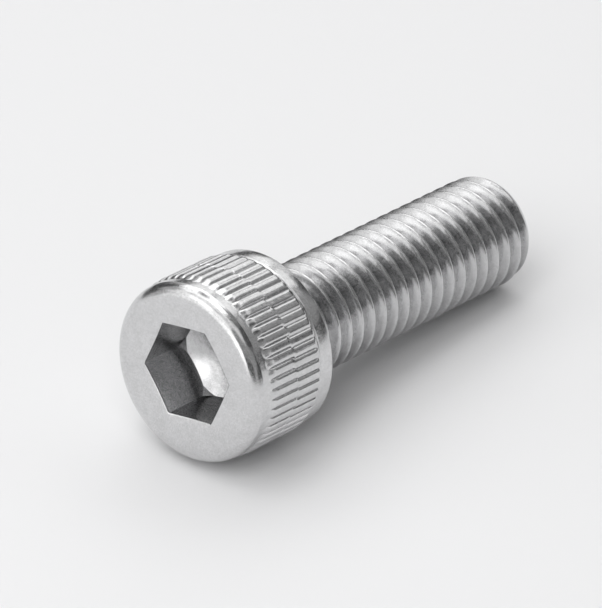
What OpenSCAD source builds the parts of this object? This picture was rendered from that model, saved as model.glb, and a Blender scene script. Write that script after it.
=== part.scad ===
// Hexagon socket head cap screw, metric, cold formed in one piece and threaded to the head.
// It stands on the face of its head, as it comes to rest unheld without rolling, with its thread up.
// The origin is the centre of the bearing face under the head, and a corner of the hexagon lies along +X.

/* [Thread] */
// Nominal thread diameter
thread_d = 10; // [8:0.5:12]
// Allowance of the real crests under the nominal diameter
crest_allowance = 0.1; // [0:0.02:0.2]
// Axial distance from one turn of the thread to the next
pitch = 1.5; // [1:0.25:1.75]
// Length from the bearing face to the tip
shank_len = 30.4; // [20:0.2:60]
// Plain neck between the bearing face and the first turn
neck_len = 1.2; // [1:0.1:3]
// Turn about the axis of the place where the thread begins
thread_turn = 302; // [0:1:360]
// Turns over which the first crest rises to its full height
runout_turns = 0.75; // [0.5:0.05:1]
// Radius of the fillet between the bearing face and the neck
fillet_r = 0.5; // [0.3:0.05:0.8]
// Length of the chamfer on the tip
tip_chamfer_len = 1; // [0.6:0.1:1.5]
// Angle of the tip chamfer from the screw's axis
tip_chamfer_angle = 39; // [30:1:44]

/* [Head] */
// Diameter of the plain band behind the knurl
head_d = 15.84; // [15:0.02:18]
// Height of the head
head_h = 9.8; // [9:0.1:12]
// Radius of the round between the face and the side
face_round_r = 1.25; // [0.6:0.05:1.5]
// Arc of that round, which ends in a crisp edge on the side when it is under a right angle
face_round_arc = 75; // [60:1:90]
// Bevel of the rim round the bearing face
rim_bevel = 0.15; // [0.05:0.05:0.3]

/* [Knurl] */
// Height of the ridges above the plain band behind them
knurl_height = 0.2; // [0.1:0.01:0.25]
// Depth of the grooves between the ridges
groove_depth = 0.26; // [0.2:0.01:0.3]
// Number of ridges round the head
ridge_count = 54; // [40:1:64]
// Turn of the front row of ridges about the axis
knurl_turn = 5; // [0:0.1:8]
// Turn of the rear row of ridges against the front row
seam_shift = 1; // [0:0.1:3]
// Distance of the seam between the two rows from the bearing face
seam_from_bearing = 4.8; // [4.2:0.05:5.5]
// Length of the smooth band between the face's round and the knurl
front_band_len = 0.45; // [0.4:0.05:1]
// Drop from the crests of the ridges to the front band
front_band_drop = 0.18; // [0.1:0.01:0.2]
// Length of the plain band behind the knurl
rear_band_len = 1.7; // [1:0.1:2.5]
// Length over which the ridges and grooves fade out at each end
fade_len = 0.7; // [0.3:0.1:1]

/* [Socket] */
// Key size, across the flats
key_size = 8; // [7:0.5:9]
// Depth of the flats from the face
key_depth = 5; // [4:0.25:6]
// Width of the bevel along the edges of the mouth
mouth_bevel = 0.22; // [0.1:0.01:0.3]
// Reach of the shallow dish round the mouth past the bevel's corners
dish_margin = 0.15; // [0.05:0.01:0.3]
// Angle across the dish
dish_angle = 164; // [150:1:170]
// Length of the bevel round the socket's floor
floor_bevel = 0.35; // [0.1:0.05:0.5]
// Angle across the cone of the socket's floor
floor_angle = 150; // [118:2:170]

/* [Finish] */
// Facets round the head and the shank
round_steps = 96; // [24:8:128]
// Facets round the back of each ridge
ridge_steps = 32; // [16:4:48]
// Facets round each turn of the thread
turn_steps = 24; // [12:4:32]

/* [Hidden] */
$fn = round_steps;

// Overlap that joins two solids, or clears a cut through a face
over = 0.1;

thread_r = (thread_d - crest_allowance) / 2;
head_r = head_d / 2;

// The thread's profile comes from a sharp triangle. Shares of its height: cut off for the flat crest, from
// the crest to the pitch line, and from the crest to the groove's root
flank_angle = 30;
crest_share = 1 / 8;
pitch_share = 3 / 8;
groove_share = 17 / 24;
thread_h = pitch / (2 * tan(flank_angle));
crest_half = pitch * crest_share / 2;
thread_depth = groove_share * thread_h;
groove_r = thread_r - thread_depth;

// The neck keeps the radius of the rolled blank, which is that of the pitch line
neck_r = thread_d / 2 - pitch_share * thread_h;
tip_r = thread_r - tip_chamfer_len * tan(tip_chamfer_angle);

// The thread's ridge reaches below the roots by the overlap, and past the tip, where the chamfer cuts it
base_r = groove_r - over;
base_half = crest_half + (thread_depth + over) * tan(flank_angle);
thread_turns = (shank_len + base_half - neck_len) / pitch;

// Ridges are arcs about a circle of centres, and neighbours meet at the root of the groove between them
crest_r = head_r + knurl_height;
root_r = crest_r - groove_depth;
half_step = 180 / ridge_count;
ridge_half_w = root_r * sin(half_step);
ridge_rise = crest_r - root_r * cos(half_step);
ridge_r = (pow(ridge_half_w, 2) + pow(ridge_rise, 2)) / (2 * ridge_rise);
centre_r = crest_r - ridge_r;

// The core inside the ridges lies just below the roots of the grooves
core_r = root_r - over / 2;
front_band_r = crest_r - front_band_drop;

// The face's round about the middle of its arc, and the place where it meets the front band
round_middle_r = front_band_r - face_round_r * sin(face_round_arc);
round_middle_z = face_round_r - head_h;
round_end_z = round_middle_z - face_round_r * cos(face_round_arc);
knurl_front = -round_end_z - front_band_len;

corner_r = key_size / sqrt(3);
floor_r = corner_r - floor_bevel;
floor_cone_h = floor_r / tan(floor_angle / 2);
flat_half = key_size / 2;
lip_half = flat_half + mouth_bevel;
dish_r = lip_half / cos(30) + dish_margin;
dish_h = dish_r / tan(dish_angle / 2);

// Head without its ridges: face, round, front band, groove roots, rear band and rim
module head_blank() {
    rotate_extrude() {
        difference() {
            union() {
                polygon([
                    [0, -head_h], [round_middle_r, -head_h], [front_band_r, round_end_z],
                    [front_band_r, -knurl_front], [core_r, fade_len - knurl_front],
                    [core_r, -rear_band_len - fade_len], [head_r, -rear_band_len],
                    [head_r, -rim_bevel], [head_r - rim_bevel, 0], [0, 0]
                ]);
                intersection() {
                    translate([round_middle_r, round_middle_z]) circle(face_round_r);
                    translate([0, -head_h]) square([front_band_r, round_end_z + head_h]);
                }
            }
            translate([-crest_r, -head_h - over]) square([crest_r, head_h + 2 * over]);
        }
    }
}

// Space that the ridges fill, with their backs fading into the bands at both ends
module ridge_envelope() {
    rotate_extrude() {
        polygon([
            [core_r - ridge_r, over - knurl_front], [front_band_r - over, over - knurl_front],
            [crest_r, fade_len / 2 - knurl_front], [crest_r, -rear_band_len - fade_len],
            [head_r - over, over - rear_band_len], [core_r - ridge_r, over - rear_band_len]
        ]);
    }
}

// One row of straight ridges, from one place on the axis to another, turned by a phase
module ridge_row(from_z, to_z, phase) {
    translate([0, 0, from_z]) {
        linear_extrude(height = to_z - from_z) {
            for (i = [0 : ridge_count - 1]) {
                rotate(phase + i * 2 * half_step) translate([centre_r, 0]) circle(ridge_r, $fn = ridge_steps);
            }
            circle(centre_r);
        }
    }
}

// Both rows of the knurl, which meet at the seam
module knurl() {
    intersection() {
        union() {
            ridge_row(-knurl_front, -seam_from_bearing, knurl_turn);
            ridge_row(-seam_from_bearing, 2 * over - rear_band_len, knurl_turn + seam_shift);
        }
        ridge_envelope();
    }
}

// Hexagonal space with bevelled edges at its mouth, where three slots cross
module key_space() {
    floor_top = key_depth + floor_cone_h + over - head_h;
    intersection_for (turn = [30, 90, 150]) {
        rotate([90, 0, turn]) {
            linear_extrude(height = 4 * dish_r, center = true) {
                polygon([
                    [-flat_half, floor_top], [-flat_half, mouth_bevel - head_h],
                    [-lip_half - over, -head_h - over], [lip_half + over, -head_h - over],
                    [flat_half, mouth_bevel - head_h], [flat_half, floor_top]
                ]);
            }
        }
    }
}

// What the punch leaves open: hexagon, bevelled and coned floor, and the shallow dish round its mouth
module socket() {
    floor_z = key_depth - head_h;
    intersection() {
        key_space();
        rotate_extrude() {
            polygon([
                [0, -head_h - 2 * over], [dish_r + over, -head_h - 2 * over],
                [dish_r + over, floor_z - dish_r - over + floor_r], [floor_r, floor_z], [0, floor_z + floor_cone_h]
            ]);
        }
    }
    translate([0, 0, -head_h]) cylinder(r1 = dish_r, r2 = 0, h = dish_h);
    translate([0, 0, -head_h - over]) cylinder(r = dish_r, h = over);
}

// Height of the crest after a number of turns, low in the neck at first
function crest_at(turns_in) = min(
    thread_r,
    neck_r - over + turns_in * (thread_r - neck_r + over) / runout_turns
);

// Section of the thread's ridge after a number of turns: base, crest, crest and base
function thread_section(turns_in) = let (
    crest = crest_at(turns_in),
    middle = neck_len + turns_in * pitch,
    half_top = crest_half + (thread_r - crest) * tan(flank_angle)
) [
    for (corner = [[base_r, -base_half], [crest, -half_top], [crest, half_top], [base_r, base_half]])
        [corner[0] * cos(360 * turns_in), corner[0] * sin(360 * turns_in), middle + corner[1]]
];

// Ridge of the thread, one section after another along the helix
module thread_ridge() {
    sections = ceil(thread_turns * turn_steps);
    points = [for (i = [0 : sections]) each thread_section(i / turn_steps)];
    sides = [
        for (i = [0 : sections - 1], k = [0 : 3])
            [4 * i + k, 4 * i + (k + 1) % 4, 4 * i + 4 + (k + 1) % 4, 4 * i + 4 + k]
    ];
    ends = [[3, 2, 1, 0], [for (k = [0 : 3]) 4 * sections + k]];
    polyhedron(points = points, faces = concat(sides, ends), convexity = 10);
}

// Shank from the bearing face to the tip: fillet, neck, thread and chamfered tip
module shank() {
    intersection() {
        union() {
            rotate_extrude() {
                polygon([
                    [0, -over], [neck_r + fillet_r, -over], [neck_r + fillet_r, 0],
                    [neck_r + fillet_r, fillet_r], [neck_r, fillet_r],
                    [neck_r, neck_len], [groove_r, neck_len + neck_r - groove_r],
                    [groove_r, shank_len + over], [0, shank_len + over]
                ]);
            }
            rotate(thread_turn) thread_ridge();
        }
        rotate_extrude() {
            difference() {
                polygon([
                    [0, -over], [thread_r + over, -over],
                    [thread_r + over, shank_len - tip_chamfer_len - over / tan(tip_chamfer_angle)],
                    [tip_r, shank_len], [0, shank_len]
                ]);
                translate([neck_r + fillet_r, fillet_r]) circle(fillet_r);
            }
        }
    }
}

module cap_screw() {
    color([0.78, 0.78, 0.79]) {
        difference() {
            union() {
                head_blank();
                knurl();
                shank();
            }
            socket();
        }
    }
}

cap_screw();
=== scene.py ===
import math
import bmesh
import bpy
import numpy as np
from mathutils import Matrix, Vector


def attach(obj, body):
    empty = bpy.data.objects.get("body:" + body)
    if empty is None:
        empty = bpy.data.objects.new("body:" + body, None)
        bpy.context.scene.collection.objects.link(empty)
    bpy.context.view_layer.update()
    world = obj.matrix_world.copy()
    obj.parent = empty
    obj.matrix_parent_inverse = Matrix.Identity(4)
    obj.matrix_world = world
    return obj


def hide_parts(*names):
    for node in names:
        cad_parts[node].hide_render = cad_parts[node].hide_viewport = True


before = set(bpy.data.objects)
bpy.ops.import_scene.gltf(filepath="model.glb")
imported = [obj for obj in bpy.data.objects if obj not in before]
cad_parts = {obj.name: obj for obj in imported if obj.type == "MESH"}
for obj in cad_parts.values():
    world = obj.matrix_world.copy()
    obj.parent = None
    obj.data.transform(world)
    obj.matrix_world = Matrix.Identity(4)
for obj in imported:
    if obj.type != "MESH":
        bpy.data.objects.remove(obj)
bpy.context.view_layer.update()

# Lengths are in millimetres and angles in degrees until a mesh, lamp or camera is made
MM = 0.001

# Sizes of the thread
NOMINAL_R = 5
THREAD_R = 4.95
PITCH = 1.5
FLANK_ANGLE = 30
CREST_HALF = PITCH / 16
CREST_ROUND_R = 0.12
ROOT_ROUND_R = 0.2165
# How far from the bearing face the middle of the crest passes the angle zero
THREAD_PHASE = 1.44

# Length of the shank, and sizes of the neck, which keeps the radius of the rolled blank
SHANK_LEN = 30.4
NECK_R = NOMINAL_R - 3 / 8 * PITCH * math.sqrt(3) / 2
NECK_LEN = 0.9
FILLET_R = 0.5
RUNOUT_LEN = 1.1 * PITCH

# Sizes of the tip: its end, the round that leads to it and the edge between them
TIP_R = 4.12
TIP_ROUND_LEN = 1.7
TIP_FULLNESS = 1.3
TIP_EDGE_LEN = 0.12
TIP_EDGE = 0.1
TIP_SOFT = 0.03
# Radii and depths of the shallow dish in the tip's end, and its depth in the middle
TIP_DISH = ((3.2, 0), (2.9, 0.02), (2.0, 0.12), (1.0, 0.17))
TIP_DISH_DEPTH = 0.18

# Sizes of the head
HEAD_R = 7.92
HEAD_H = 9.8
FACE_ROUND_R = 1.25
FACE_ROUND_ARC = 75
FRONT_BAND_R = 7.95
RIM_BEVEL = 0.15
RIM_SOFT = 0.02

# Sizes of the knurl
RIDGES = 54
CREST_R = 8.12
GROOVE_DEPTH = 0.24
RIDGE_CROWN = 0.09
RIDGE_FULLNESS = 8
KNURL_FRONT = -8.45
KNURL_REAR = -1.72
# Turn of the crests of the two rows of ridges, and the seam between the rows
FRONT_ROW_TURN = 5.0
REAR_ROW_TURN = 5.9
SEAM_Z = -4.82
SEAM_BLEND = 0.24
# How far the seam strays from ridge to ridge, and how much their heights differ
SEAM_STRAY = 0.22
HEIGHT_STRAY = 0.02
# Lengths of the rounded noses of the ridges
FRONT_NOSE_LEN = 0.45
REAR_NOSE_LEN = 0.67 * FRONT_NOSE_LEN
# Lengths over which the backs of the ridges rise out of the bands, and depths from which they rise
FRONT_RISE = 1.2
REAR_RISE = 0.45
FRONT_DIP = 0.02
REAR_DIP = 0.03
# Lengths over which the grooves sink, and how much higher than their depth they end
FRONT_SINK = 1.6
REAR_SINK = 0.6
GROOVE_FLAT = 0.01

# Sizes of the socket
KEY_SIZE = 8.1
KEY_DEPTH = 5
MOUTH_ROUND = 0.12
DISH_R = 5.05
DISH_SLOPE = math.tan(math.radians(82))
FLOOR_BEVEL = 0.35
FLOOR_BEVEL_SLOPE = 1.7
FLOOR_BOWL = 0.061
# The punch stood a little beside the screw's axis
SOCKET_OFF = (0.13, -0.18)

# Columns round the axis, on the face and the rims, on the knurl and on the shank
FACE_COLUMNS = 216
KNURL_COLUMNS = 3 * FACE_COLUMNS
SHANK_COLUMNS = FACE_COLUMNS // 2
# Shares of the way at which rings lie on the socket's floor, its wall, the dish and the thread's flanks
FLOOR_ROWS = (0.12, 0.35, 0.6, 0.82, 0.95)
WALL_ROWS = (0.04, 0.25, 0.5, 0.75, 0.97)
DISH_ROWS = (0.3, 0.65, 1)
FLANK_ROWS = (0.35, 0.7)
# Radii of rings on the face and on the bearing face, and steps of the face's round
FACE_ROWS = (5.6, 6.1)
BEARING_ROWS = (6.9, 6.0)
ROUND_STEPS = 14
# Distances from edges to the rings beside them, which keep flat and level stretches evenly lit
FLOOR_GAP = 0.01
EDGE_GAP = 0.06
RIM_GAP = 0.05
BAND_GAPS = (0.15, 0.1)
# Stretches of the knurl and the number of rings on each, dense where its shape changes
KNURL_ROWS = (
    (KNURL_FRONT, KNURL_FRONT + 1.2, 18),
    (KNURL_FRONT + 1.5, SEAM_Z - 0.5, 5),
    (SEAM_Z - 0.38, SEAM_Z + 0.38, 9),
    (SEAM_Z + 0.55, KNURL_REAR - 1.1, 4),
    (KNURL_REAR - 0.8, KNURL_REAR, 15),
)
# Steps inwards from the rear band and back from the knurl's end, where the band begins with a small round
REAR_START = ((0.03, 0.06), (0.004, 0.12), (0, 0.3), (0, 0.82))
# Edges sharper than this stay crisp
SHARP_ANGLE = 40


def sine(angle):
    return math.sin(math.radians(angle))


def cosine(angle):
    return math.cos(math.radians(angle))


def smooth(x):
    """Smooth step from 0 to 1."""
    x = np.clip(x, 0, 1)
    return x * x * (3 - 2 * x)


class Skin:
    """Vertices and faces of one closed surface, built ring by ring round the Z axis."""

    def __init__(self):
        self.points = []
        self.faces = []
        self.creases = []

    def add(self, radius, angle, z):
        """Adds points in cylindrical coordinates and returns their numbers."""
        radius, angle, z = np.broadcast_arrays(radius, np.radians(angle), z)
        first = len(self.points)
        xyz = np.stack([radius * np.cos(angle), radius * np.sin(angle), z], -1).reshape(-1, 3)
        self.points.extend(xyz.tolist())
        return np.arange(first, first + len(xyz))

    def ring(self, radius, z, columns):
        """Adds a level circle of evenly spaced points."""
        return self.add(radius, np.arange(columns) * 360 / columns, z)

    def join(self, rings):
        """Quads between each of the rings, which have as many points, and the next."""
        for low, high in zip(rings, rings[1:]):
            after_low, after_high = np.roll(low, -1), np.roll(high, -1)
            self.faces.extend(np.stack([high, after_high, after_low, low], -1).tolist())

    def join_finer(self, coarse, fine, flip):
        """Fans between a ring and one that has a whole number of times its points."""
        times = len(fine) // len(coarse)
        for i, corner in enumerate(coarse):
            row = [fine[(i * times + k) % len(fine)] for k in range(times + 1)]
            fans = [[corner, row[k + 1], row[k]] for k in range(times // 2)]
            after = coarse[(i + 1) % len(coarse)]
            fans += [[after, row[k + 1], row[k]] for k in range(times // 2, times)]
            fans.append([corner, after, row[times // 2]])
            self.faces.extend([f[::-1] for f in fans] if flip else fans)

    def join_lines(self, lines):
        """Faces between each of the open lines, which may share points, and the next."""
        for low, high in zip(lines, lines[1:]):
            for i in range(len(low) - 1):
                corners = [low[i], low[i + 1], high[i + 1], high[i]]
                self.faces.append(list(dict.fromkeys(corners)))

    def cap(self, centre, ring):
        """Triangles between a point and a ring round it."""
        for this, after in zip(ring, np.roll(ring, -1)):
            self.faces.append([centre, this, after])


def socket_rings(skin):
    """Rings from the middle of the socket's floor to the flat face, and the number of the middle point."""
    angle = np.arange(FACE_COLUMNS) * 360 / FACE_COLUMNS
    wall = KEY_SIZE / 2 / np.cos(np.radians(angle % 60 - 30))
    floor_r = KEY_SIZE / math.sqrt(3) - FLOOR_BEVEL
    floor_z = KEY_DEPTH - HEAD_H

    def bowl(radius):
        return floor_z + (floor_r**2 - np.square(radius)) * FLOOR_BOWL

    def dish(radius):
        return np.maximum(DISH_R - radius, 0) / DISH_SLOPE - HEAD_H

    centre = skin.add(0, 0, bowl(0))[0]
    edge = np.minimum(wall, floor_r)
    rings = [skin.add(edge * share, angle, bowl(edge * share)) for share in FLOOR_ROWS]
    rings.append(skin.add(edge - FLOOR_GAP, angle, bowl(edge - FLOOR_GAP)))
    foot = np.where(wall > floor_r, floor_z - (wall - floor_r) * FLOOR_BEVEL_SLOPE, bowl(wall))
    rings.append(skin.add(wall, angle, foot))
    skin.creases += rings[-2:]
    lip = wall * (1 + 2 * MOUTH_ROUND / KEY_SIZE)
    top = dish(lip) + MOUTH_ROUND
    for share in WALL_ROWS:
        rings.append(skin.add(wall, angle, foot + share * (top - foot)))
    for turn in range(0, 91, 30):
        radius = wall + (lip - wall) * (1 - cosine(turn))
        rings.append(skin.add(radius, angle, top - MOUTH_ROUND * sine(turn)))
    for share in DISH_ROWS:
        radius = lip + share * (DISH_R - lip)
        rings.append(skin.add(radius, angle, dish(radius)))
    rings.append(skin.add(DISH_R + EDGE_GAP, angle, -HEAD_H))
    return centre, rings


def face_rings(skin):
    """Rings of the flat face and the round that leads to the side."""
    middle = FRONT_BAND_R - FACE_ROUND_R * sine(FACE_ROUND_ARC)
    rings = [skin.ring(r, -HEAD_H, FACE_COLUMNS) for r in (*FACE_ROWS, middle - 2 * EDGE_GAP)]
    for k in range(ROUND_STEPS + 1):
        turn = FACE_ROUND_ARC * k / ROUND_STEPS
        z = -HEAD_H + FACE_ROUND_R * (1 - cosine(turn))
        rings.append(skin.ring(middle + FACE_ROUND_R * sine(turn), z, FACE_COLUMNS))
    skin.creases.append(rings[-1])
    return rings


def front_band_rings(skin):
    """Rings of the smooth band between the face's round and the knurl."""
    round_end = -HEAD_H + FACE_ROUND_R * (1 - cosine(FACE_ROUND_ARC))
    places = (round_end + BAND_GAPS[0], KNURL_FRONT - BAND_GAPS[1])
    return [skin.ring(FRONT_BAND_R, z, FACE_COLUMNS) for z in places]


def ridge_drop(angle, turn):
    """How far a row of ridges lies under its crests, and how far from its crest each point is."""
    step = 360 / RIDGES
    off = ((angle - turn + step / 2) % step - step / 2) / (step / 2)
    return RIDGE_CROWN * off**2 + (GROOVE_DEPTH - RIDGE_CROWN) * np.abs(off) ** RIDGE_FULLNESS, off


def knurl_radius(angle, z, seam, height):
    """Radius of the knurled side, where each ridge has its own place of the seam and its own height."""
    ridge = np.round((angle - FRONT_ROW_TURN) / (360 / RIDGES)).astype(int) % RIDGES
    front, off_front = ridge_drop(angle, FRONT_ROW_TURN)
    rear, off_rear = ridge_drop(angle, REAR_ROW_TURN)
    past_seam = smooth((z - SEAM_Z - seam[ridge]) / SEAM_BLEND + 0.5)
    drop = front + (rear - front) * past_seam - height[ridge] * (1 - np.abs(off_front)) ** 0.5
    off = np.abs(off_front + (off_rear - off_front) * past_seam)
    nose = 1 - np.sqrt(np.clip(1 - off**2, 0, 1))
    from_front, from_rear = z - KNURL_FRONT, KNURL_REAR - z
    band = CREST_R - FRONT_BAND_R
    front_back = (band + FRONT_DIP) * (1 - smooth((from_front - FRONT_NOSE_LEN * nose) / FRONT_RISE))
    front_groove = band + (GROOVE_DEPTH - GROOVE_FLAT - band) * smooth(from_front / FRONT_SINK)
    band = CREST_R - HEAD_R
    risen = np.clip((from_rear - REAR_NOSE_LEN * nose) / REAR_RISE, 0, 1)
    rear_back = (band + REAR_DIP) * (1 - np.sqrt(1 - (1 - risen) ** 2))
    sunk = smooth(from_rear / REAR_SINK)
    rear_groove = band + REAR_DIP + (GROOVE_DEPTH - GROOVE_FLAT - band) * sunk
    drop = np.maximum(drop, np.maximum(front_back, rear_back))
    return CREST_R - np.minimum(drop, np.minimum(front_groove, rear_groove))


def knurl_rings(skin):
    """Rings of the knurl, dense at its ends and at its seam."""
    random = np.random.default_rng(7)
    seam = random.uniform(-SEAM_STRAY, SEAM_STRAY, RIDGES)
    height = random.uniform(0, HEIGHT_STRAY, RIDGES)
    angle = np.arange(KNURL_COLUMNS) * 360 / KNURL_COLUMNS
    rows = np.concatenate([np.linspace(*stretch) for stretch in KNURL_ROWS])
    return [skin.add(knurl_radius(angle, z, seam, height), angle, z) for z in rows]


def rear_rings(skin):
    """Rings of the plain band behind the knurl, the rim and the bearing face."""
    profile = [(HEAD_R - inwards, KNURL_REAR + back) for inwards, back in REAR_START]
    profile += [
        (HEAD_R, -RIM_BEVEL - RIM_GAP), (HEAD_R - RIM_SOFT, RIM_SOFT - RIM_BEVEL),
        (HEAD_R - RIM_BEVEL, -RIM_SOFT), (HEAD_R - RIM_BEVEL - EDGE_GAP, 0),
    ]
    profile += [(r, 0) for r in (*BEARING_ROWS, NECK_R + FILLET_R + EDGE_GAP)]
    return [skin.ring(r, z, FACE_COLUMNS) for r, z in profile]


def fillet_rings(skin):
    """Rings of the fillet between the bearing face and the neck."""
    rings = []
    for turn in range(0, 91, 18):
        radius = NECK_R + FILLET_R * (1 - sine(turn))
        rings.append(skin.ring(radius, FILLET_R * (1 - cosine(turn)), SHANK_COLUMNS))
    return rings


def thread_profile():
    """Places along one pitch, from root to root, with heights over the root, and the thread's depth."""
    steep = 90 - FLANK_ANGLE
    corner = PITCH / 2 - CREST_HALF
    depth = (corner - sine(steep) * ROOT_ROUND_R) * math.tan(math.radians(steep)) + ROOT_ROUND_R / 2
    round_end = corner + CREST_ROUND_R * math.tan(math.radians(FLANK_ANGLE))

    def root_round(turn):
        return ROOT_ROUND_R * sine(turn), ROOT_ROUND_R * (1 - cosine(turn))

    def crest_round(turn):
        return round_end - CREST_ROUND_R * sine(turn), depth - CREST_ROUND_R * (1 - cosine(turn))

    flank = (root_round(steep), crest_round(steep))
    places = [root_round(turn) for turn in range(0, steep + 1, 20)]
    places += [tuple(a + share * (b - a) for a, b in zip(*flank)) for share in FLANK_ROWS]
    places += [crest_round(turn) for turn in range(steep, -1, -30)]
    places.append((PITCH / 2, depth))
    mirrored = [(PITCH - x, h) for x, h in places[-2:0:-1]]
    return np.array(places + mirrored + [(PITCH, 0)]), depth


PROFILE, THREAD_DEPTH = thread_profile()


def shank_radius(angle, z):
    """Radius of the thread at any angle and height, with its run-out at the neck and its tip."""
    along = (z - THREAD_PHASE - PITCH * angle / 360 + PITCH / 2) % PITCH
    full = THREAD_R - THREAD_DEPTH + np.interp(along, *PROFILE.T)
    radius = NECK_R + (full - NECK_R) * smooth((z - NECK_LEN) / RUNOUT_LEN)
    to_tip = np.clip((SHANK_LEN - z) / TIP_ROUND_LEN, 0, 1)
    tip = TIP_R + (THREAD_R - TIP_R) * np.sqrt(1 - (1 - to_tip) ** 2) ** TIP_FULLNESS
    return np.minimum(radius, tip)


def shank_rings(skin):
    """The thread as one strip that winds along its own helix, closed by a wedge at each end.
    Returns the first and the last level ring, each from the angle zero."""
    columns = SHANK_COLUMNS
    root_phase = THREAD_PHASE - PITCH / 2
    shift = round((NECK_LEN - root_phase) / PITCH * columns)
    start_z = root_phase + shift * PITCH / columns
    count = round((SHANK_LEN - TIP_EDGE_LEN - start_z - PITCH) / PITCH * columns)
    x = PROFILE[:, 0]
    rows = len(x) - 1

    def place(number, z):
        angle = (shift + number) * 360 / columns
        return skin.add(shank_radius(angle, z), angle, z)

    def climb(number):
        return start_z + number * PITCH / columns

    first = place(np.arange(columns), np.full(columns, start_z))
    number = np.arange(count + 1)
    strip = np.empty((rows + 1, count + 1), int)
    strip[0, 0] = first[0]
    strip[0, 1:] = place(number[1:], climb(number[1:]))
    for k in range(1, rows):
        strip[k] = place(number, climb(number) + x[k])
    tail = number[-columns:]
    strip[rows, :-columns] = strip[0, columns:]
    strip[rows, tail] = place(tail, climb(tail) + PITCH)
    # The wedge under the first turn: line k runs from the first point up to line k of the strip's start
    inner = np.arange(1, columns)
    wedge = [np.append(first, first[0])]
    for k in range(1, rows):
        risen = place(inner, start_z + x[k] * inner / columns)
        wedge.append(np.concatenate([first[:1], risen, strip[k, :1]]))
    wedge.append(strip[0, : columns + 1])
    skin.join_lines(wedge)
    skin.join_lines(strip)
    # The wedge over the last turn: line k runs from line k of the strip's end down to its last point
    base = count - columns
    wedge = [strip[rows, base:]]
    for k in range(1, rows + 1):
        sunk = place(base + inner, climb(base + inner) + PITCH + x[k] * (1 - inner / columns))
        wedge.append(np.concatenate([strip[k, count:], sunk, strip[rows, count:]]))
    skin.join_lines(wedge)
    return np.roll(first, shift), np.roll(wedge[rows][:columns], shift + base)


def tip_rings(skin):
    """Rings of the tip's end, with its soft edge and its shallow dish."""
    profile = [(TIP_R - TIP_EDGE + TIP_SOFT, TIP_SOFT), (TIP_R - 2 * TIP_EDGE, 0), *TIP_DISH]
    return [skin.ring(r, SHANK_LEN - depth, SHANK_COLUMNS) for r, depth in profile]


def screw_skin():
    """The whole screw's surface, from the socket's floor round the outside to the tip."""
    skin = Skin()
    centre, socket = socket_rings(skin)
    skin.points = [[x + SOCKET_OFF[0], y + SOCKET_OFF[1], z] for x, y, z in skin.points]
    face = face_rings(skin)
    skin.cap(centre, socket[0][::-1])
    skin.join(socket + face)
    knurl = knurl_rings(skin)
    band = front_band_rings(skin)
    skin.join(face[-1:] + band)
    skin.join_finer(band[-1], knurl[0], flip=False)
    skin.join(knurl)
    rear = rear_rings(skin)
    skin.join_finer(rear[0], knurl[-1], flip=True)
    skin.join(rear)
    fillet = fillet_rings(skin)
    skin.join_finer(fillet[0], rear[-1], flip=True)
    skin.join(fillet)
    first, last = shank_rings(skin)
    skin.join([fillet[-1], first])
    tip = tip_rings(skin)
    skin.join([last] + tip)
    skin.cap(skin.add(0, 0, SHANK_LEN - TIP_DISH_DEPTH)[0], tip[-1])
    return skin


def build_screw(material):
    """The screw as one closed mesh with smooth faces and crisp edges."""
    skin = screw_skin()
    mesh = bpy.data.meshes.new("screw")
    faces = [[int(v) for v in face] for face in skin.faces]
    mesh.from_pydata((np.array(skin.points) * MM).tolist(), [], faces)
    mesh.validate()
    surface = bmesh.new()
    surface.from_mesh(mesh)
    bmesh.ops.recalc_face_normals(surface, faces=surface.faces)
    surface.to_mesh(mesh)
    surface.free()
    mesh.polygons.foreach_set("use_smooth", [True] * len(mesh.polygons))
    mesh.set_sharp_from_angle(angle=math.radians(SHARP_ANGLE))
    ends = np.array([e.vertices[:] for e in mesh.edges])
    for crease in skin.creases:
        for number in np.flatnonzero(np.isin(ends, crease).all(1)):
            mesh.edges[number].use_edge_sharp = True
    mesh.materials.append(material)
    screw = bpy.data.objects.new("screw", mesh)
    bpy.context.scene.collection.objects.link(screw)
    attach(screw, "root")
    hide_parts("cap_screw")


# Colour and roughness of the steel
STEEL_COLOUR = (0.64, 0.64, 0.645)
ROUGHNESS = (0.17, 0.25)
# Two grains of the surface: grains to a millimetre, height, detail and how much they vary the colour
COARSE_GRAIN = (1.1, 0.012, 1, 0.04)
FINE_GRAIN = (5.5, 0.0016, 3, 0.13)
GRAIN_HARSHNESS = 0.7
# Ranges of the grain's value over which it varies the colour and the roughness
TINT_RANGE = (0.3, 0.7)
POLISH_RANGE = (0.35, 0.65)
# The rolled thread is rougher and duller than the head, and this is the stretch where that sets in
THREAD_ROUGHER = 0.02
THREAD_SHADE = 0.9
THREAD_BEGINS = (0.3 * MM, 2 * MM)
# Painted shade on the socket's walls, which darkens the recess: the share of the colour left there, the
# depth where the walls begin, and the radius they reach
PAINTED_WALL_SHADE = 0.8
WALL_TOP = 0.15
WALL_REACH = 4.85
WALL_FADE = 0.1


def ranged(tree, value, before, after):
    """Takes a value from one range to another and holds it at the ends."""
    node = tree.nodes.new("ShaderNodeMapRange")
    tree.links.new(value, node.inputs["Value"])
    for name, number in zip(("From Min", "From Max", "To Min", "To Max"), (*before, *after)):
        node.inputs[name].default_value = number
    return node.outputs["Result"]


def combined(tree, first, second, operation):
    """Joins two values by an operation."""
    node = tree.nodes.new("ShaderNodeMath")
    node.operation = operation
    tree.links.new(first, node.inputs[0])
    tree.links.new(second, node.inputs[1])
    return node.outputs[0]


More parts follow.
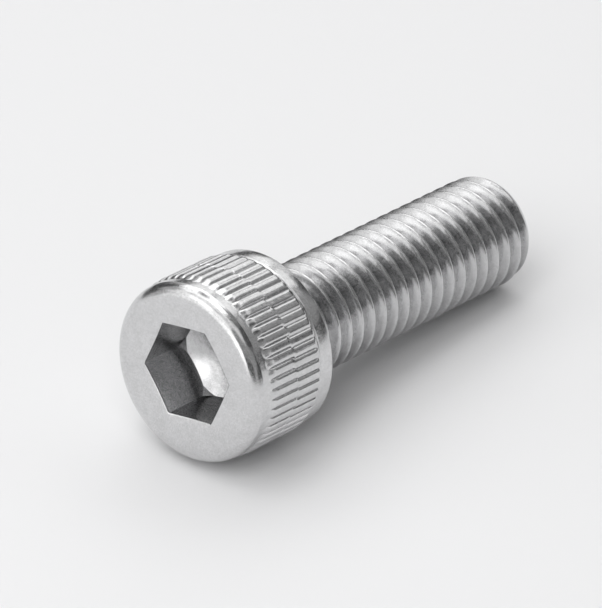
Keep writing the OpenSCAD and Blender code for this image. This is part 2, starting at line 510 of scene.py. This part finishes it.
def grained(tree, place):
    """Both grains, one over the other: the bumpy normal, the tint, and the value of the fine grain."""
    normal, tints = None, []
    for per_mm, height, detail, mottle in (COARSE_GRAIN, FINE_GRAIN):
        noise = tree.nodes.new("ShaderNodeTexNoise")
        noise.inputs["Scale"].default_value = per_mm / MM
        noise.inputs["Detail"].default_value = detail
        noise.inputs["Roughness"].default_value = GRAIN_HARSHNESS
        tree.links.new(place, noise.inputs["Vector"])
        grain = noise.outputs["Fac"]
        bump = tree.nodes.new("ShaderNodeBump")
        bump.inputs["Strength"].default_value = 1
        bump.inputs["Distance"].default_value = height * MM
        tree.links.new(grain, bump.inputs["Height"])
        if normal:
            tree.links.new(normal, bump.inputs["Normal"])
        normal = bump.outputs["Normal"]
        tints.append(ranged(tree, grain, TINT_RANGE, (1 - mottle, 1 + mottle)))
    return normal, combined(tree, *tints, "MULTIPLY"), grain


def wall_shade_and_thread_tone(tree, place, z):
    """Share of the colour that is left: less on the socket's walls, where shade is painted in, and less on
    the thread, whose own tone is duller.
    """
    level = tree.nodes.new("ShaderNodeVectorMath")
    level.operation = "MULTIPLY"
    level.inputs[1].default_value = (1, 1, 0)
    tree.links.new(place, level.inputs[0])
    reach = tree.nodes.new("ShaderNodeVectorMath")
    reach.operation = "LENGTH"
    tree.links.new(level.outputs[0], reach.inputs[0])
    wall_r, fade = WALL_REACH * MM, WALL_FADE * MM
    wall_z, floor_z = (WALL_TOP - HEAD_H) * MM, (KEY_DEPTH - HEAD_H) * MM
    # Painted shade: the walls inside this radius, between the face and the floor, are darkened
    outside = ranged(tree, reach.outputs["Value"], (wall_r, wall_r + fade), (PAINTED_WALL_SHADE, 1))
    past_floor = ranged(tree, z, (floor_z - fade, floor_z), (PAINTED_WALL_SHADE, 1))
    before_wall = ranged(tree, z, (wall_z, wall_z + fade), (1, PAINTED_WALL_SHADE))
    walls = combined(tree, combined(tree, outside, past_floor, "MAXIMUM"), before_wall, "MAXIMUM")
    return combined(tree, walls, ranged(tree, z, THREAD_BEGINS, (1, THREAD_SHADE)), "MULTIPLY")


def steel():
    """Bright satin stainless steel with a fine grain, and painted shade on the socket's walls."""
    material = bpy.data.materials.new("steel")
    material.use_nodes = True
    tree = material.node_tree
    shader = tree.nodes["Principled BSDF"]
    shader.inputs["Metallic"].default_value = 1
    place = tree.nodes.new("ShaderNodeTexCoord").outputs["Object"]
    split = tree.nodes.new("ShaderNodeSeparateXYZ")
    tree.links.new(place, split.inputs[0])
    z = split.outputs["Z"]
    normal, tint, grain = grained(tree, place)
    tree.links.new(normal, shader.inputs["Normal"])
    shade = tree.nodes.new("ShaderNodeVectorMath")
    shade.operation = "SCALE"
    shade.inputs[0].default_value = STEEL_COLOUR
    # The base colour carries the grain's tint, the painted shade on the socket's walls and the thread's
    # duller tone
    tree.links.new(combined(tree, tint, wall_shade_and_thread_tone(tree, place, z), "MULTIPLY"), shade.inputs["Scale"])
    tree.links.new(shade.outputs[0], shader.inputs["Base Color"])
    polish = ranged(tree, grain, POLISH_RANGE, ROUGHNESS)
    rougher = ranged(tree, z, THREAD_BEGINS, (0, THREAD_ROUGHER))
    tree.links.new(combined(tree, polish, rougher, "ADD"), shader.inputs["Roughness"])
    return material


# The camera as it was fitted to the photograph: the picture's width and the focal length, in pixels
IMAGE_W = 602
FOCAL_PX = 8552
# Where the screw's axis points in the camera's view, and how the hexagon is turned about it
AXIS_AZIMUTH = 46.905
AXIS_ELEVATION = 18.376
HEXAGON_TURN = 348.066
# How far right, down and forward of the camera the origin lies, and how steeply the camera looks down
ORIGIN_AT = (-3.30763, 2.8762, 719.05)
LOOK_DOWN = 32.05
# Width of the camera's sensor, and the nearest and the farthest that it sees, in metres
SENSOR_W = 36
CLIP_RANGE = (0.01, 10)


def camera_axes():
    """The screw's X, Y and Z and the photograph's down, in the camera's right, down and forward."""
    level = cosine(AXIS_ELEVATION)
    z = Vector((level * cosine(AXIS_AZIMUTH), -sine(AXIS_ELEVATION), level * sine(AXIS_AZIMUTH)))
    v = z.cross(Vector((0, -1, 0))).normalized()
    w = v.cross(z)
    x = cosine(HEXAGON_TURN) * v + sine(HEXAGON_TURN) * w
    y = z.cross(x)
    down = Vector((0, cosine(LOOK_DOWN), sine(LOOK_DOWN)))
    return x, y, z, down


def to_frame(direction):
    """A direction or place given in the camera's right, down and forward, in the frame's axes."""
    x, y, z, _ = camera_axes()
    return Vector((direction.dot(x), direction.dot(y), direction.dot(z)))


def add_camera():
    """The camera that took the photograph."""
    data = bpy.data.cameras.new("camera")
    data.sensor_fit = "HORIZONTAL"
    data.sensor_width = SENSOR_W
    data.lens = FOCAL_PX * SENSOR_W / IMAGE_W
    data.clip_start, data.clip_end = CLIP_RANGE
    camera = bpy.data.objects.new("camera", data)
    right, down, forward = (to_frame(Vector(v)) for v in ((1, 0, 0), (0, 1, 0), (0, 0, 1)))
    place = to_frame(-Vector(ORIGIN_AT)) * MM
    turn = Matrix((right, -down, -forward)).transposed().to_4x4()
    camera.matrix_world = Matrix.Translation(place) @ turn
    bpy.context.scene.collection.objects.link(camera)
    bpy.context.scene.camera = camera


# The screw lies on the rear end of its knurl and on its last full crest
KNURL_CONTACT = (KNURL_REAR - 0.35, CREST_R)
THREAD_CONTACT = (SHANK_LEN - 1.6, THREAD_R)
# Half the width of the floor in metres, and its colour
FLOOR_HALF = 0.3
FLOOR_COLOUR = (0.765, 0.765, 0.77, 1)


def ground():
    """The photograph's up, right and forward in the frame, and a point of the surface under the screw."""
    up = -to_frame(camera_axes()[3])
    right = to_frame(Vector((1, 0, 0)))
    forward = up.cross(right)
    aside = math.hypot(up.x, up.y)
    z, radius = min(KNURL_CONTACT, THREAD_CONTACT, key=lambda p: p[0] * up.z - p[1] * aside)
    sideways = -Vector((up.x, up.y, 0)).normalized()
    return up, right, forward, (sideways * radius + Vector((0, 0, z))) * MM


def floor_material():
    """Plain pale paper that is clear from underneath."""
    material = bpy.data.materials.new("floor")
    material.use_nodes = True
    nodes, links = material.node_tree.nodes, material.node_tree.links
    nodes.remove(nodes["Principled BSDF"])
    diffuse = nodes.new("ShaderNodeBsdfDiffuse")
    diffuse.inputs["Color"].default_value = FLOOR_COLOUR
    clear = nodes.new("ShaderNodeBsdfTransparent")
    side = nodes.new("ShaderNodeNewGeometry")
    mix = nodes.new("ShaderNodeMixShader")
    links.new(side.outputs["Backfacing"], mix.inputs[0])
    links.new(diffuse.outputs[0], mix.inputs[1])
    links.new(clear.outputs[0], mix.inputs[2])
    links.new(mix.outputs[0], nodes["Material Output"].inputs["Surface"])
    return material


def add_floor():
    """The wide pale floor that the screw lies on."""
    _, right, forward, point = ground()
    across, along = right * FLOOR_HALF, forward * FLOOR_HALF
    corners = [point + across * x + along * y for x, y in ((-1, -1), (1, -1), (1, 1), (-1, 1))]
    mesh = bpy.data.meshes.new("floor")
    mesh.from_pydata([tuple(c) for c in corners], [], [(0, 1, 2, 3)])
    mesh.materials.append(floor_material())
    floor = bpy.data.objects.new("floor", mesh)
    bpy.context.scene.collection.objects.link(floor)


# Distance of the lamps, the place that they face, and the level of all of them
STUDIO_R = 900
STUDIO_CENTRE = (0, 0, 10)
LAMP_LEVEL = 1.12
# Rings of soft boxes: name, elevation, the angles that each box covers, and a level for each azimuth
LAMP_RINGS = (
    ("low", 7, (20, 18), {-140: 1.8, -120: 1.2, -100: 0.95, -80: 0.35, 100: 0.7, 160: 0.3}),
    ("middle", 27, (20, 22), {-135: 1.1, -112: 1.55, -90: 0.95, -68: 0.35, -22: 0.35, 0: 1.05, 22: 0.65}),
    ("right", 27, (62, 22), {90: 0.22, 170: 0.22}),
    ("high", 50, (23, 24), {
        -180: 0.7, -144: 0.75, -108: 0.95, -72: 1.3, -36: 1.5, 0: 1.75, 36: 1.15, 72: 0.7,
    }),
    ("top", 75, (26, 26), {-120: 2, 0: 1.4, 120: 0.15}),
)
# A soft box that lights the floor and doesn't show in the metal
FILL_LAMP = ("fill", -165, 45, (40, 40), 2.2)
# The dim even world round the studio
WORLD_COLOUR = (0.077, 0.077, 0.07777, 1)


def add_lamp(name, azimuth, elevation, angles, level):
    """A soft box of an even brightness that covers the given angles as seen from the screw. Its azimuth
    goes from straight ahead towards the right, its elevation upwards from the floor, and its long side
    is level."""
    data = bpy.data.lights.new(name, "AREA")
    data.shape = "RECTANGLE"
    data.size, data.size_y = (2 * STUDIO_R * MM * math.tan(math.radians(a / 2)) for a in angles)
    data.energy = LAMP_LEVEL * level * math.pi * data.size * data.size_y
    lamp = bpy.data.objects.new(name, data)
    up, right, forward, _ = ground()
    away = (right * sine(azimuth) + forward * cosine(azimuth)) * cosine(elevation) + up * sine(elevation)
    side = up.cross(away).normalized()
    turn = Matrix((side, away.cross(side), away)).transposed().to_4x4()
    place = (Vector(STUDIO_CENTRE) + away * STUDIO_R) * MM
    lamp.matrix_world = Matrix.Translation(place) @ turn
    bpy.context.scene.collection.objects.link(lamp)
    return lamp


def add_light():
    """All the lamps, and the world."""
    for name, elevation, angles, levels in LAMP_RINGS:
        for azimuth, level in levels.items():
            add_lamp(f"{name}_{azimuth % 360}", azimuth, elevation, angles, level)
    add_lamp(*FILL_LAMP).visible_glossy = False
    world = bpy.data.worlds.new("studio")
    world.use_nodes = True
    world.node_tree.nodes["Background"].inputs["Color"].default_value = WORLD_COLOUR
    bpy.context.scene.world = world


bpy.context.scene.view_settings.view_transform = "Standard"
build_screw(steel())
add_camera()
add_floor()
add_light()

bpy.context.view_layer.update()
